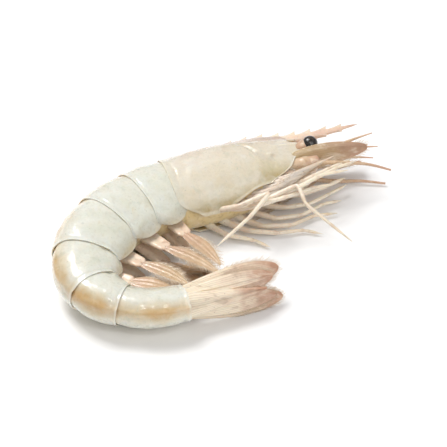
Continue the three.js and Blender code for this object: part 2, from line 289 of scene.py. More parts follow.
def add_rod(piece, frame_at, points, width, thick=None, across=(0, 0, 1), rows=16, sides=10, route=spline, **values):
    """A limb along a route. width and thick are its half sizes at t from 0 to 1."""
    thick = thick or width
    t = np.linspace(0, 1, rows)
    centre = route(points, rows)
    along, wide, normal = directions(centre, across)
    angle = np.linspace(0, 2 * np.pi, sides, endpoint=False)
    ring = (
        wide[:, None] * (np.sin(angle) * width(t)[:, None])[..., None]
        + normal[:, None] * (np.cos(angle) * thick(t)[:, None])[..., None]
    )
    given = {"along": np.repeat(t, sides)} | values
    piece.add(place(centre[:, None] + ring, frame_at), tube_faces(rows, sides), **given)


def taper(start, end, round_start=False, round_end=True):
    """A half size that goes from start to end, with ends rounded off."""
    def size(t):
        ends = np.ones_like(t)
        if round_end:
            ends = ends * np.sqrt(np.clip(1 - smooth(t, 0.86, 1.0) ** 2 * 0.97, 0.02, 1))
        if round_start:
            ends = ends * np.sqrt(np.clip(1 - smooth(t, 0.14, 0.0) ** 2 * 0.97, 0.02, 1))
        return lerp(start, end, t) * ends
    return size


def leaf(half, peak=0.45, stalk=0.5, tip=0.25, blunt=1.0):
    """The half width of a leaf-shaped blade, widest at peak, with a rounder end the smaller blunt is."""
    def size(t):
        rise = np.sin(np.pi / 2 * np.minimum(t / peak, 1))
        fall = np.clip(np.cos(np.pi / 2 * np.maximum((t - peak) / (1 - peak), 0)), 0, 1) ** blunt
        return np.where(t < peak, lerp(stalk, half, rise), lerp(tip, half, fall))
    return size


def add_blade(piece, frame_at, points, width, thick, across, cup=0.0, ribs=(), rows=40, columns=17, **values):
    """A thin leaf with ribs. cup bends its edges to one side. Returns its edges for bristles to grow from."""
    t = np.linspace(0, 1, rows)
    centre = spline(points, rows)
    along, wide, normal = directions(centre, across)
    v = np.linspace(-1, 1, columns)
    half = width(t)[:, None]
    depth = thick(t)[:, None]
    edge = np.sqrt(np.clip(1 - np.abs(v) ** 3, 0.03, 1))
    relief = sum(height * bump(v, at, spread) for at, height, spread in ribs) if ribs else 0 * v
    lift = cup * (v**2) * half
    mid = centre[:, None] + wide[:, None] * (half * v)[..., None]
    top = mid + normal[:, None] * (lift + depth * (edge + relief))[..., None]
    low = mid + normal[:, None] * (lift - depth * (edge + 0.6 * relief))[..., None]
    both = np.concatenate([top, low[:, ::-1]], axis=1)
    across_blade = np.concatenate([np.tile(v, (rows, 1)), np.tile(v[::-1], (rows, 1))], axis=1)
    given = {"along": np.repeat(t, 2 * columns), "across": across_blade} | values
    piece.add(place(both, frame_at), sheet_faces(rows, columns), **given)
    rims = []
    for side in (-1, 1):
        rims.append((place(mid[:, 0 if side < 0 else -1] + normal * lift[:, :1], frame_at), side * wide, along, t))
    return rims


def turned(vectors, frame_at):
    """Directions in body coordinates, turned into the part's frame."""
    _, forward, back, right = frame_at
    vectors = np.asarray(vectors, float)
    return vectors[..., :1] * forward + vectors[..., 1:2] * back + vectors[..., 2:] * right


def add_bristles(piece, roots, ways, lengths, radius, rng, droop=0.25, **values):
    """Fine tapering hairs, each closed, that bend a little as they go."""
    roots, ways = np.asarray(roots, float), unit(ways)
    count = len(roots)
    if not count:
        return
    t = np.array([0.0, 0.4, 0.75, 1.0])
    thin = np.array([1.0, 0.8, 0.5, 0.12]) * radius
    stray = rng.normal(size=(count, 3)) * droop
    reach = np.asarray(lengths, float)[:, None, None]
    line = roots[:, None] + reach * (t[None, :, None] * ways[:, None] + (t**2)[None, :, None] * stray[:, None] * 0.5)
    side = unit(np.cross(ways, [0.31, 0.22, 0.92]))
    other = np.cross(ways, side)
    corner = np.radians([0, 120, 240])
    ring = side[:, None] * np.cos(corner)[None, :, None] + other[:, None] * np.sin(corner)[None, :, None]
    points = line[:, :, None] + ring[:, None] * thin[None, :, None, None]
    one = tube_faces(4, 3)
    faces = [tuple(index + 12 * hair for index in face) for hair in range(count) for face in one]
    given = {"along": np.tile(np.repeat(t, 3), count)} | values
    piece.add(points, faces, **given)


def fringe(piece, frame_at, rims, spans, spacing, length, rng, radius=0.05, lean=0.9):
    """Bristles along a blade's edges, in the span of t given for each edge, longest in the middle of the span."""
    for (rim, outward, along, t), span in zip(rims, spans):
        if span is None:
            continue
        reach = np.concatenate([[0], np.cumsum(np.linalg.norm(np.diff(rim, axis=0), axis=1))])
        low, high = np.interp(span, t, reach)
        at = np.arange(low, high, spacing)
        pick = lambda rows: np.stack([np.interp(at, reach, rows[:, axis]) for axis in range(3)], -1)
        shares = np.interp(at, reach, t)
        inside = (shares - span[0]) / (span[1] - span[0])
        ways = pick(turned(outward, frame_at)) * 0.8 + pick(turned(along, frame_at)) * (lean + 0.8 * inside**2)[:, None]
        ways = unit(ways) + rng.normal(size=ways.shape) * 0.07
        sizes = length * (0.45 + 0.55 * np.sin(np.pi * np.clip(inside, 0.02, 0.9))) * rng.uniform(0.8, 1.15, len(at))
        root = pick(rim) - pick(turned(outward, frame_at)) * 0.15
        add_bristles(piece, root, ways, sizes, radius, rng)


# Materials

def colour(red, green, blue):
    """A linear colour from sRGB values of 0 to 255."""
    values = np.array([red, green, blue]) / 255
    linear = np.where(values <= 0.04045, values / 12.92, ((values + 0.055) / 1.055) ** 2.4)
    return (*linear.tolist(), 1.0)


class Finish:
    """A material and short ways to add the nodes that it needs."""

    def __init__(self, name):
        self.material = bpy.data.materials.new(name)
        self.material.use_nodes = True
        self.tree = self.material.node_tree
        self.shader = self.tree.nodes["Principled BSDF"]
        self.place = self.node("TexCoord").outputs["Object"]

    def node(self, kind, inputs=None, **settings):
        made = self.tree.nodes.new("ShaderNode" + kind)
        for key, value in settings.items():
            setattr(made, key, value)
        for key, value in (inputs or {}).items():
            self.feed(made.inputs[key], value)
        return made

    def feed(self, socket, value):
        if isinstance(value, bpy.types.NodeSocket):
            self.tree.links.new(value, socket)
        else:
            socket.default_value = value

    def set(self, **inputs):
        for key, value in inputs.items():
            self.feed(self.shader.inputs[key.replace("_", " ")], value)

    def value(self, name):
        return self.node("Attribute", attribute_name=name).outputs["Fac"]

    def mix(self, share, first, second):
        made = self.node("Mix", {0: share, 6: first, 7: second}, data_type="RGBA")
        return made.outputs[2]

    def maths(self, operation, first, second=0.0):
        return self.node("Math", {0: first, 1: second}, operation=operation).outputs[0]

    def span(self, value, low, high, to_low=0.0, to_high=1.0):
        inputs = {"Value": value, "From Min": low, "From Max": high, "To Min": to_low, "To Max": to_high}
        return self.node("MapRange", inputs, interpolation_type="SMOOTHSTEP").outputs[0]

    def noise(self, size, detail=3.0, stretch=None, distortion=0.0):
        """Noise whose features are about size millimetres across."""
        where = self.place
        if stretch:
            where = self.node("Mapping", {"Vector": where, "Scale": stretch}).outputs[0]
        inputs = {"Vector": where, "Scale": 1 / (size * MM), "Detail": detail, "Distortion": distortion}
        return self.node("TexNoise", inputs).outputs["Fac"]

    def dots(self, spacing, size, share):
        """Scattered dots: 1 inside a dot. Only the given share of the cells has one."""
        cells = self.node("TexVoronoi", {"Vector": self.place, "Scale": 1 / (spacing * MM), "Randomness": 1.0})
        chance = self.node("SeparateColor", {0: cells.outputs["Color"]})
        near = self.span(cells.outputs["Distance"], size / spacing, 0.45 * size / spacing)
        chosen = self.maths("LESS_THAN", chance.outputs[0], share)
        return self.maths("MULTIPLY", near, chosen)

    def ramp(self, value, stops):
        made = self.node("ValToRGB", {0: value})
        points = made.color_ramp.elements
        while len(points) < len(stops):
            points.new(0.5)
        for point, (position, tint) in zip(points, stops):
            point.position = position
            point.color = tint
        return made.outputs["Color"]

    def bumps(self, height, distance):
        """Relief of the given depth in millimetres."""
        made = self.node("Bump", {"Height": height, "Distance": distance * MM, "Strength": 1.0})
        self.set(Normal=made.outputs[0], Coat_Normal=made.outputs[0])


def wet(finish, roughness, coat=0.6, glow=0.3, depth=1.2):
    """The gloss of wet shell, and light that goes a little way into it."""
    finish.set(Roughness=roughness, IOR=1.42)
    finish.set(Coat_Weight=coat, Coat_Roughness=0.08, Coat_IOR=1.38)
    finish.set(Subsurface_Weight=glow, Subsurface_Scale=depth * MM, Subsurface_Radius=(1.0, 0.72, 0.5))


SPECKLES = [(0.55, 0.09, 0.4, 0.4), (1.3, 0.14, 0.3, 0.45), (3.1, 0.26, 0.25, 0.35), (5.5, 0.55, 0.4, 0.22)]


def shell_finish(name, stops, milk, rim_tint):
    """Shell of carapace and plates: a colour from the lower edge to the back, cloudy patches, rims and speckles."""
    made = Finish(name)
    cloud = made.noise(7, detail=4, distortion=0.6)
    fine = made.noise(1.1, detail=5)
    grain = made.noise(0.35, detail=3)
    shifted = made.maths("ADD", made.value("back"), made.span(cloud, 0.3, 0.7, -0.06, 0.06))
    tint = made.ramp(shifted, stops)
    tint = made.mix(made.maths("MULTIPLY", made.value("organ"), 0.5), tint, colour(204, 176, 142))
    pink_back = made.maths("MULTIPLY", made.span(shifted, 0.72, 0.98, 0.0, 0.75), made.value("front"))
    tint = made.mix(pink_back, tint, colour(203, 172, 157))
    flank = made.span(made.value("back"), 0.95, 0.7, 0.0, 0.5)
    milky = made.maths("MULTIPLY", made.span(made.noise(4.0, detail=5, distortion=0.8), 0.42, 0.66), flank)
    tint = made.mix(milky, tint, milk)
    murky = made.span(made.noise(3.2, detail=4, distortion=1.2), 0.54, 0.72, 0.0, 0.32)
    tint = made.mix(murky, tint, colour(196, 192, 168))
    bands = made.maths("MULTIPLY", made.value("muscle"), made.span(cloud, 0.35, 0.6, 0.08, 0.3))
    tint = made.mix(bands, tint, colour(208, 206, 184))
    tint = made.mix(made.maths("MULTIPLY", made.value("rim"), 0.6), tint, rim_tint)
    tint = made.mix(made.span(fine, 0.52, 0.75, 0.0, 0.3), tint, colour(204, 186, 158))
    for spacing, size, share, strength in SPECKLES:
        dots = made.maths("MULTIPLY", made.dots(spacing, size, share), strength)
        tint = made.mix(dots, tint, colour(128, 122, 104))
    made.set(Base_Color=tint)
    wet(made, made.span(fine, 0.3, 0.7, 0.24, 0.38), coat=1.0, glow=0.5, depth=1.8)
    relief = made.maths("ADD", fine, made.maths("MULTIPLY", cloud, 1.5))
    made.bumps(made.maths("ADD", relief, made.maths("MULTIPLY", grain, 0.35)), 0.05)
    return made.material


VEIN_COUNT = 11


def limb_finish(name, root, middle, tip, streaks=(1, 1, 1), veins=0.0, dark=0.4, roughness=0.3):
    """Thin limbs: a colour from root to tip with streaks, speckles and, on blades, fine veins along them."""
    made = Finish(name)
    along = made.maths("ADD", made.value("along"), made.span(made.noise(3, detail=3), 0.3, 0.7, -0.12, 0.12))
    tint = made.ramp(along, [(0.0, root), (0.5, middle), (1.0, tip)])
    streak = made.noise(1.3, detail=4, stretch=streaks, distortion=0.4)
    tint = made.mix(made.span(streak, 0.5, 0.75, 0.0, 0.55), tint, colour(240, 228, 206))
    tint = made.mix(made.span(streak, 0.46, 0.28, 0.0, dark), tint, colour(156, 122, 94))
    if veins:
        spread = made.maths("ADD", made.value("across"), made.span(made.noise(2.5), 0.3, 0.7, -0.03, 0.03))
        wave = made.maths("SINE", made.maths("MULTIPLY", spread, VEIN_COUNT * math.pi))
        tint = made.mix(made.span(wave, 0.2, 1.0, 0.0, veins), tint, colour(150, 112, 86))
    tint = made.mix(made.maths("MULTIPLY", made.dots(1.1, 0.16, 0.35), 0.5), tint, colour(120, 88, 70))
    tint = made.mix(made.span(made.value("tone"), 0, 1, 0.0, 0.4), tint, colour(196, 160, 128))
    made.set(Base_Color=tint)
    wet(made, roughness, coat=0.5, glow=0.35, depth=0.8)
    made.bumps(made.noise(0.5, detail=3), 0.06)
    return made.material


def eye_finish():
    made = Finish("eye")
    tint = made.mix(made.span(made.noise(0.8), 0.35, 0.7), colour(22, 19, 17), colour(58, 48, 40))
    made.set(Base_Color=tint, Roughness=0.22, IOR=1.45, Coat_Weight=0.6, Coat_Roughness=0.12)
    made.bumps(made.node("TexVoronoi", {"Vector": made.place, "Scale": 1 / (0.16 * MM)}).outputs["Distance"], 0.02)
    return made.material


ABDOMEN_STOPS = [
    (0.0, colour(212, 194, 156)),
    (0.09, colour(224, 216, 194)),
    (0.24, colour(234, 225, 202)),
    (0.55, colour(238, 228, 207)),
    (0.72, colour(240, 228, 208)),
    (0.86, colour(234, 211, 180)),
    (1.0, colour(208, 167, 118)),
]
CARAPACE_STOPS = [
    (0.0, colour(198, 174, 130)),
    (0.1, colour(214, 194, 158)),
    (0.28, colour(236, 214, 186)),
    (0.55, colour(240, 219, 196)),
    (0.76, colour(234, 210, 190)),
    (0.9, colour(216, 186, 168)),
    (1.0, colour(196, 162, 148)),
]

shell_material = shell_finish("abdomen_shell", ABDOMEN_STOPS, colour(244, 238, 221), colour(238, 235, 222))
carapace_material = shell_finish("carapace_shell", CARAPACE_STOPS, colour(244, 228, 208), colour(234, 221, 198))
flesh_material = limb_finish("flesh", colour(222, 197, 138), colour(224, 203, 156), colour(216, 192, 156))
leg_material = limb_finish("leg", colour(230, 213, 194), colour(242, 231, 213), colour(240, 226, 203), dark=0.22)
face_material = limb_finish("face", colour(236, 220, 206), colour(234, 218, 202), colour(224, 200, 176))
feeler_material = limb_finish("feeler", colour(214, 190, 158), colour(208, 180, 150), colour(196, 156, 134))
# Feeler scales: the tan-brown, darkest at the tip, is partly their own colour and partly painted shade from the front
# of the head.
scale_painted_shade_material = limb_finish(
    "feeler_scale", colour(206, 184, 143), colour(190, 161, 125), colour(180, 142, 116), (0.3, 1, 1), veins=0.18
)
base_material = limb_finish("swimmeret_base", colour(232, 206, 190), colour(230, 212, 190), colour(222, 194, 170))
# Swimmeret blades: tan, partly their own colour and partly painted shade, as of blades lying shaded under and between
# other bodies.
swimmeret_painted_shade_material = limb_finish("swimmeret", colour(204, 170, 148), colour(196, 168, 135), colour(210, 184, 148), veins=0.3)
tail_material = limb_finish(
    "tail", colour(245, 233, 210), colour(241, 225, 202), colour(190, 147, 122), (0.25, 1, 1), veins=0.28
)
bristle_material = limb_finish("bristle", colour(216, 192, 158), colour(212, 186, 154), colour(206, 178, 150), roughness=0.45)
eye_material = eye_finish()


# Shell: the outline round the body at an angle from the back

def section(angle, half_width, back, side, tuck):
    up, out = np.cos(angle), np.sin(angle)
    narrow = np.where(up < 0, 1 - tuck * up**2, 1)
    z = half_width * narrow * np.sign(out) * np.abs(out) ** 0.82
    y = np.where(up >= 0, back * np.abs(up) ** 0.94, -side * np.abs(up) ** 0.74)
    return y, z


def carapace_section(x, angle, inset=0.0):
    t = np.clip(x / CARAPACE_LENGTH, 0, 1)
    swell = np.sin(np.pi * np.minimum(t * 1.15, 1))
    half_width = CARAPACE["half_width"] + 0.5 * swell - 3.2 * t**2.3 - inset
    back = CARAPACE["back"] + 0.5 * swell - 3.3 * t**2.2 - inset
    side = CARAPACE["side"] + 0.7 * swell - 3.0 * t**2.5 - inset
    return section(angle, half_width, back, side, 0.34)


CARAPACE_EDGE = 144 # degrees from the back to its lower edge
FRONT_EDGE_RISE = 24
SHELL_THICKNESS = 0.28


def ridge_height(x):
    """Height of the crest along the carapace's back, over its own back."""
    return 1.5 * smooth(x, 9, 27)


def carapace():
    piece = Piece("back", "rim", "organ")
    share = np.linspace(0, 1, 110)[:, None]
    v = np.linspace(-1, 1, 121)[None, :]
    edge = np.radians(CARAPACE_EDGE - FRONT_EDGE_RISE * smooth(share, 0.25, 0.85))
    angle = v * edge
    size = np.abs(angle)
    degrees = np.degrees(size)
    front_y, _ = carapace_section(np.full_like(angle, CARAPACE_LENGTH), angle)
    below = np.clip(0.35 - front_y / 6.0, 0, 1.35) / 1.35
    front = CARAPACE_LENGTH - 8 * below
    front = front - 2.8 * bump(degrees, 44, 13) + 1.5 * bump(degrees, 70, 4) + 0.8 * bump(degrees, 0, 14)
    front = front - 4.5 * smooth(np.abs(v), 0.8, 1.0) ** 2
    rear = -0.9 - 0.7 * np.sin(size) + 5.5 * smooth(np.abs(v), 0.66, 1.02) ** 2.4
    x = lerp(rear, front, share)
    y, z = carapace_section(x, angle)

    groove_angle = 18 + 76 * smooth(x, 15.5, 24.5)
    groove = bump(degrees, groove_angle, 7) * smooth(x, 14.5, 17) * (1 - smooth(x, 24, 26))
    gill_line = bump(degrees, 62 + 0.5 * x, 4) * smooth(x, 1, 5) * (1 - smooth(x, 15, 21))
    on_top = bump(degrees, 0, 15)
    crest_width = (8 + 0.15 * x) * (1 - 0.5 * smooth(x, 26, 32))
    crest = bump(degrees, 0, crest_width) * ridge_height(x) - 0.35 * on_top * smooth(x, 29, 33.5)
    beside_crest = bump(degrees, 24, 6) * smooth(x, 14, 20) * 0.35
    spine = 0.5 * bump(x, 24.5, 0.8) * bump(degrees, 80, 3.5)
    keel = 0.3 * bump(degrees, 60, 4) * smooth(x, 24, 29)
    lower_rim = 0.22 * smooth(np.abs(v), 0.95, 0.985) + 0.16 * smooth(share, 0.985, 0.995) * (1 - on_top)
    rear_rim = 0.16 * smooth(share, 0.035, 0.012) - 0.14 * bump(share, 0.055, 0.012)
    rear_rim = rear_rim * (1 - smooth(np.abs(v), 0.55, 0.75))
    lift = crest + spine + keel + lower_rim + rear_rim - 0.42 * groove - 0.16 * gill_line - beside_crest
    rough = place(np.stack([x, y, z], -1), HEAD)
    lift = lift + 0.07 * ripple(rough, 11, 3) + 0.015 * ripple(rough, 3.2, 4)
    y = y + lift * np.cos(angle)
    z = z + lift * np.sin(angle)
    outer = place(np.stack([x, y, z], -1), HEAD)
    back = 1 - size / edge + 0 * x
    organ = bump(x, 17.5, 6) * bump(degrees, 42, 20)
    rim = smooth(share, 0.07, 0.02) + smooth(share, 0.975, 0.99) * (1 - on_top) + smooth(np.abs(v), 0.95, 0.98)
    inside = axis_point(-CARAPACE_LENGTH / 2)
    add_sheet(piece, outer, inside, SHELL_THICKNESS, back=back, rim=np.clip(rim + 0 * x, 0, 1), organ=organ)
    return piece.build("carapace", carapace_material)


PLATE_EDGE = np.radians(146)
starts = [segment["start"] for segment in SEGMENTS] + [abdomen_length]


def body_size(s, key):
    """A size of the abdomen's section at s, between those of the segments."""
    return np.interp(s, starts, [segment[key] for segment in SEGMENTS] + [SEGMENTS[-1][key] - 0.8])


def plate(index):
    """One shell plate of the abdomen, from under the plate in front of it to its own rear rim."""
    segment = SEGMENTS[index]
    last = index == len(SEGMENTS) - 1
    piece = Piece("back", "rim", "front", "muscle")
    u = np.linspace(-0.24, 1, 64)[:, None]
    v = np.linspace(-1, 1, 101)[None, :]
    angle = v * PLATE_EDGE
    degrees = np.degrees(np.abs(angle))
    low = smooth(np.abs(v), 0.62, 1.0)
    rear_reach = (0.7 + 0.9 * low - 2.2 * smooth(np.abs(v), 0.9, 1.0) ** 2) * (0.25 if last else 1)
    s = segment["start"] + u * segment["length"] + rear_reach * np.clip(u, 0, 1) ** 2
    inside_u = np.clip(u, 0.02, 0.98)
    lobe = 0 if last else 0.15 * (1 - np.sin(np.pi * inside_u) ** 0.5)
    rise = 0.4 * (1 - np.clip(u, 0, 1)) ** 1.7 + 1.6 * np.clip(-u, 0, 1)
    half_width = body_size(s, "half_width") - rise
    back = body_size(s, "back") - rise
    side = (body_size(s, "side") - rise) * (1 - lobe)
    y, z = section(angle, half_width, back, side, 0.12)
    z = z * (1 + 0.05 * low)

    swell = 0.22 * np.sin(np.pi * np.clip(u, 0, 1)) ** 1.2
    rim_lift = 0.08 * smooth(u, 0.955, 0.985) - 0.1 * bump(u, 0.93, 0.02)
    keel = (0.0, 0.0, 0.12, 0.4, 0.5, 0.6)[index] * bump(degrees, 0, 6) * smooth(u, 0.0, 0.4)
    hinge = -0.2 * bump(degrees, 97, 5) * bump(u, 0.1, 0.14) + 0.16 * bump(degrees, 104, 5) * bump(u, 0.9, 0.1)
    edge_lift = 0.16 * smooth(np.abs(v), 0.955, 0.985) * np.clip(u * 8, 0, 1)
    lift = swell + rim_lift + keel + hinge + edge_lift
    rough = place(np.stack([0 * s + 0 * angle, y, z], -1), body_frame(s + 0 * angle))
    lift = lift + 0.06 * ripple(rough, 8, 20 + index) + 0.014 * ripple(rough, 2.6, 40 + index)
    y = y + lift * np.cos(angle)
    z = z + lift * np.sin(angle)
    outer = place(np.stack([0 * y, y, z], -1), body_frame(s + 0 * angle))
    height = 1 - np.abs(angle) / PLATE_EDGE + 0 * s
    rim = 0.4 * smooth(u, 0.7, 0.86) + 0.5 * smooth(u, 0.96, 0.985) + 0.4 * smooth(np.abs(v), 0.95, 0.98)
    inside = axis_point(segment["start"] + 0.4 * segment["length"])
    front = 1 - smooth(s, -2, 26) + 0 * angle
    waves = 0.5 + 0.5 * np.sin(2 * np.pi * (2.4 * u + degrees / 48))
    muscle = waves * smooth(degrees, 15, 40) * (1 - smooth(degrees, 100, 135)) * smooth(u, 0.02, 0.15)
    values = {"back": height, "rim": np.clip(rim + 0 * s, 0, 1), "front": front, "muscle": muscle}
    add_sheet(piece, outer, inside, SHELL_THICKNESS, **values)
    return piece.build(f"shell_plate_{index + 1}", shell_material)


def flesh():
    """The body inside its shell, with the ridges of the belly between the limbs."""
    piece = Piece("along", "tone")
    rows, sides = 190, 72
    s = np.linspace(-31.5, abdomen_length - 0.3, rows)[:, None]
    angle = np.linspace(-np.pi, np.pi, sides, endpoint=False)[None, :]
    head_y, head_z = carapace_section(np.clip(-s, 0, CARAPACE_LENGTH), angle, 0.9)
    tail_y, tail_z = section(angle, *[body_size(s, key) - 1.0 for key in ("half_width", "back", "side")], 0.12)
    share = smooth(s, -1.5, 1.0)
    y, z = lerp(head_y, tail_y, share), lerp(head_z, tail_z, share)
    from_belly = (np.pi - np.abs(angle)) / np.radians(46)
    depth = np.interp(s, [-32, -20, 0, 10, 60, 67], [1.0, 0.8, 0.2, 1.4, 1.6, 0.8])
    y = y + depth * np.maximum(0, 1 - from_belly**2)
    joints = sum(bump(s, start, 0.9) for start in starts)
    belly = smooth(np.abs(angle), np.radians(120), np.radians(150))
    y = y - belly * 0.35 * joints
    ends = np.sqrt(np.clip(1 - smooth(s, -27, -32) ** 2, 0.05, 1)) * (1 - 0.12 * smooth(s, 61, 62.6))
    points = np.stack([0 * y, y * ends, z * ends], -1)
    points = place(points, body_frame(s + 0 * angle))
    points = points + 0.12 * ripple(points, 4, 9)[..., None] * [0, 0, 1]
    piece.add(points, tube_faces(rows, sides), along=np.repeat(np.linspace(0, 1, rows), sides))
    return piece.build("flesh", flesh_material)


# Rostrum: a toothed blade that rises from the carapace's back and runs out over the eyes

def rostrum():
    piece = Piece("back", "rim")
    tip = CARAPACE_LENGTH + ROSTRUM_LENGTH
    x = np.linspace(10, tip, 420)
    past = np.clip((x - CARAPACE_LENGTH) / ROSTRUM_LENGTH, 0, 1)
    t = np.clip(x / CARAPACE_LENGTH, 0, 1)
    ridge = CARAPACE["back"] + 0.5 * np.sin(np.pi * np.minimum(t * 1.15, 1)) - 3.3 * t**2.2
    tip_top = CARAPACE["back"] - 3.3 + 1.5 - 1.6
    first = 14.5
    pitch = (tip - 4.5 - first) / ROSTRUM_TEETH
    count = (x - first) / pitch
    phase = count % 1
    teeth = phase**2.2 * (1 - smooth(phase, 0.93, 1.0)) * ((count > 0) & (count < ROSTRUM_TEETH))
    size = lerp(0.75, 1.15, bump(count, 0.55 * ROSTRUM_TEETH, 0.4 * ROSTRUM_TEETH))
    below = (x - 37.5) / 4.2
    low_teeth = (below % 1) ** 2.5 * (1 - smooth(below % 1, 0.93, 1.0)) * ((below > 0) & (below < 2))
    top = ridge + ridge_height(x) - 1.6 * past
    low = lerp(ridge - 1.5, tip_top - 0.25, past) - 0.45 * low_teeth
    height = (top - low) / 2
    centre = np.stack([x, (top + low) / 2, 0 * x], -1)
    half = lerp(lerp(0.5, 1.15, smooth(x, 24, 32)), 0.12, past**0.75)
    angle = np.linspace(0, 2 * np.pi, 28, endpoint=False)
    up = np.sign(np.cos(angle)) * np.abs(np.cos(angle)) ** 0.9
    out = np.sign(np.sin(angle)) * np.abs(np.sin(angle)) ** 1.7
    groove = 1 - 0.3 * bump(np.cos(angle), 0.25, 0.2)
    ring = np.stack([0 * up + 0 * x[:, None], height[:, None] * up, half[:, None] * out * groove], -1)
    end = np.clip((tip - x) / 1.5, 0.08, 1)[:, None, None]
    points = centre[:, None] + ring * end
    crest = np.clip(up - 0.75, 0, None) / 0.25
    points[..., 1] += (teeth * size)[:, None] * crest
    points[..., 0] += (0.7 * teeth)[:, None] * crest**1.5
    piece.add(place(points, HEAD), tube_faces(len(x), 28), back=np.repeat(lerp(0.7, 1.0, past), 28), rim=np.repeat(0.4 * teeth, 28))
    return piece.build("rostrum", carapace_material)


# Head: eyes on stalks, short feelers on their stems, broken long feelers, feeler scales and mouthparts

def ball(piece, frame_at, centre, radii, rows=18, sides=24, relief=0.0, **values):
    turn = np.linspace(0.08, np.pi - 0.08, rows)[:, None]
    angle = np.linspace(0, 2 * np.pi, sides, endpoint=False)[None, :]
    unit_points = np.stack([np.cos(turn) + 0 * angle, np.sin(turn) * np.cos(angle), np.sin(turn) * np.sin(angle)], -1)
    points = np.asarray(centre) + unit_points * radii
    if relief:
        points = points + unit_points * (relief * ripple(points, 3.2, 70))[..., None]
    piece.add(place(points, frame_at), tube_faces(rows, sides), **values)


def eyes():
    corneas = Piece("along", "tone")
    stalks = Piece("along", "tone")
    for side in (-1, 1):
        ball(corneas, HEAD, (35.3, 2.1, 4.6 * side), (1.9, 1.85, 1.75))
        route = [(28, 1.4, 1.5 * side), (32, 1.9, 2.8 * side), (35.0, 2.1, 4.2 * side)]
        waist = lambda t: lerp(1.5, 1.82, t) * (1 - 0.2 * bump(t, 0.55, 0.12))
        add_rod(stalks, HEAD, route, waist, rows=24, sides=20, tone=0.6)
    stalks.build("eye_stalks", feeler_material)
    return corneas.build("eyes", eye_material)


def jointed(piece, frame_at, points, start, end, claw, rng):
    """A leg with a knee at each point of its route. It ends in a small claw or a pointed end."""
    points = np.asarray(points, float)
    if claw:
        points = np.vstack([points[:-1], lerp(points[-2], points[-1], 0.72)[None], points[-1:]])
    spans = np.linalg.norm(np.diff(points, axis=0), axis=1)
    reach = np.concatenate([[0], np.cumsum(spans)]) / spans.sum()
    knees = reach[1:-1]
    rows, sides = 90, 12
    t = np.linspace(0, 1, rows)
    tone = rng.uniform(0, 0.35) + 0.6 * sum(bump(t, knee, 0.022) for knee in knees)
    last = reach[-2] if claw else 1.0

    def size(share):
        swelling = sum(0.16 * bump(share, knee - 0.012, 0.016) - 0.12 * bump(share, knee + 0.02, 0.014) for knee in knees)
        for low, high in zip(reach[:-1], reach[1:]):
            within = np.clip((share - low) / (high - low), 0, 1)
            swelling = swelling + 0.14 * np.sin(np.pi * within) ** 2 * (1 - 0.8 * within)
        body = lerp(start, end, share**0.75) * (1 + swelling)
        if claw:
            return np.where(share > last, body * lerp(1.15, 0.75, (share - last) / (1 - last)), body)
        return body * lerp(1, 0.12, smooth(share, 0.9, 1.0))

    stop = points[-1] if not claw else lerp(points[-2], points[-1], 0.4)
    route = np.vstack([points[:-1], stop[None]])
    add_rod(piece, frame_at, route, size, rows=rows, sides=sides, route=bent, tone=np.repeat(tone, sides))
    if claw:
        way = unit(points[-1] - points[-2])
        across = unit(np.cross(way, (0.2, 0.9, 0.4)))
        for turn in (-1, 1):
            finger = [
                stop - way * 0.3 + across * 0.12 * turn,
                lerp(stop, points[-1], 0.5) + across * 0.17 * turn,
                points[-1] + across * 0.07 * turn,
            ]
            add_rod(piece, frame_at, finger, taper(0.5 * end, 0.16 * end), rows=10, sides=8, tone=tone[-1], along=0.97)


RIGHT_LEGS = [
    [(22, -5, -1), (30, -8, 1.2), (37, -7.4, 2.4), (43.5, -6.2, 2.4)],
    [(19.5, -6, -1), (26, -10.4, 1.6), (33, -10, 3.2), (39, -8.8, 3.6), (43.5, -8.2, 3.2)],
    [(16.5, -6.6, -1.2), (21.5, -12.2, 2.4), (27.2, -12.8, 4.5), (33, -11.3, 5), (40.5, -11.2, 4)],
    [(13, -6.6, -1.2), (18.5, -12.2, 2.6), (26.6, -12.8, 5.4), (26.4, -18, 3.5), (35, -26.5, -4.5)],
    [(9.5, -6.8, -1.2), (15, -12.6, 2), (23, -13.8, 3.4), (31, -12.8, 3), (37, -12.6, 2)],
    [(6, -6.8, -1.2), (11.5, -11.8, 2.6), (19.4, -13, 5.4), (12, -18.6, 5), (0.8, -24.4, 4)],
]
LEFT_LEGS = [
    [(22, -4, -4.4), (30, -6.4, -4.2), (36.5, -6.8, -3.6), (42, -6.2, -3)],
    [(19.5, -5, -5), (25.5, -8.4, -5.2), (31.5, -9.2, -5.4), (37.5, -7.8, -5.2), (42.5, -6.2, -5.4)],
    [(16.5, -5.6, -5.4), (22, -10.6, -5.8), (28.5, -11.4, -6.2), (35, -9.6, -6.2), (39.5, -9.8, -6.6)],
    [(13, -6, -5.6), (18, -11.6, -6), (25, -13.4, -6.6), (31.5, -12, -6.8), (37, -13.2, -7)],
    [(9.5, -6.2, -5.6), (14, -11.6, -6), (20.5, -14.4, -6.7), (27, -15.6, -7), (31, -18.6, -7.2)],
    [(6, -6.2, -5.6), (9, -11.2, -6), (14.5, -14.6, -6.7), (17.5, -18.2, -7.1)],
]


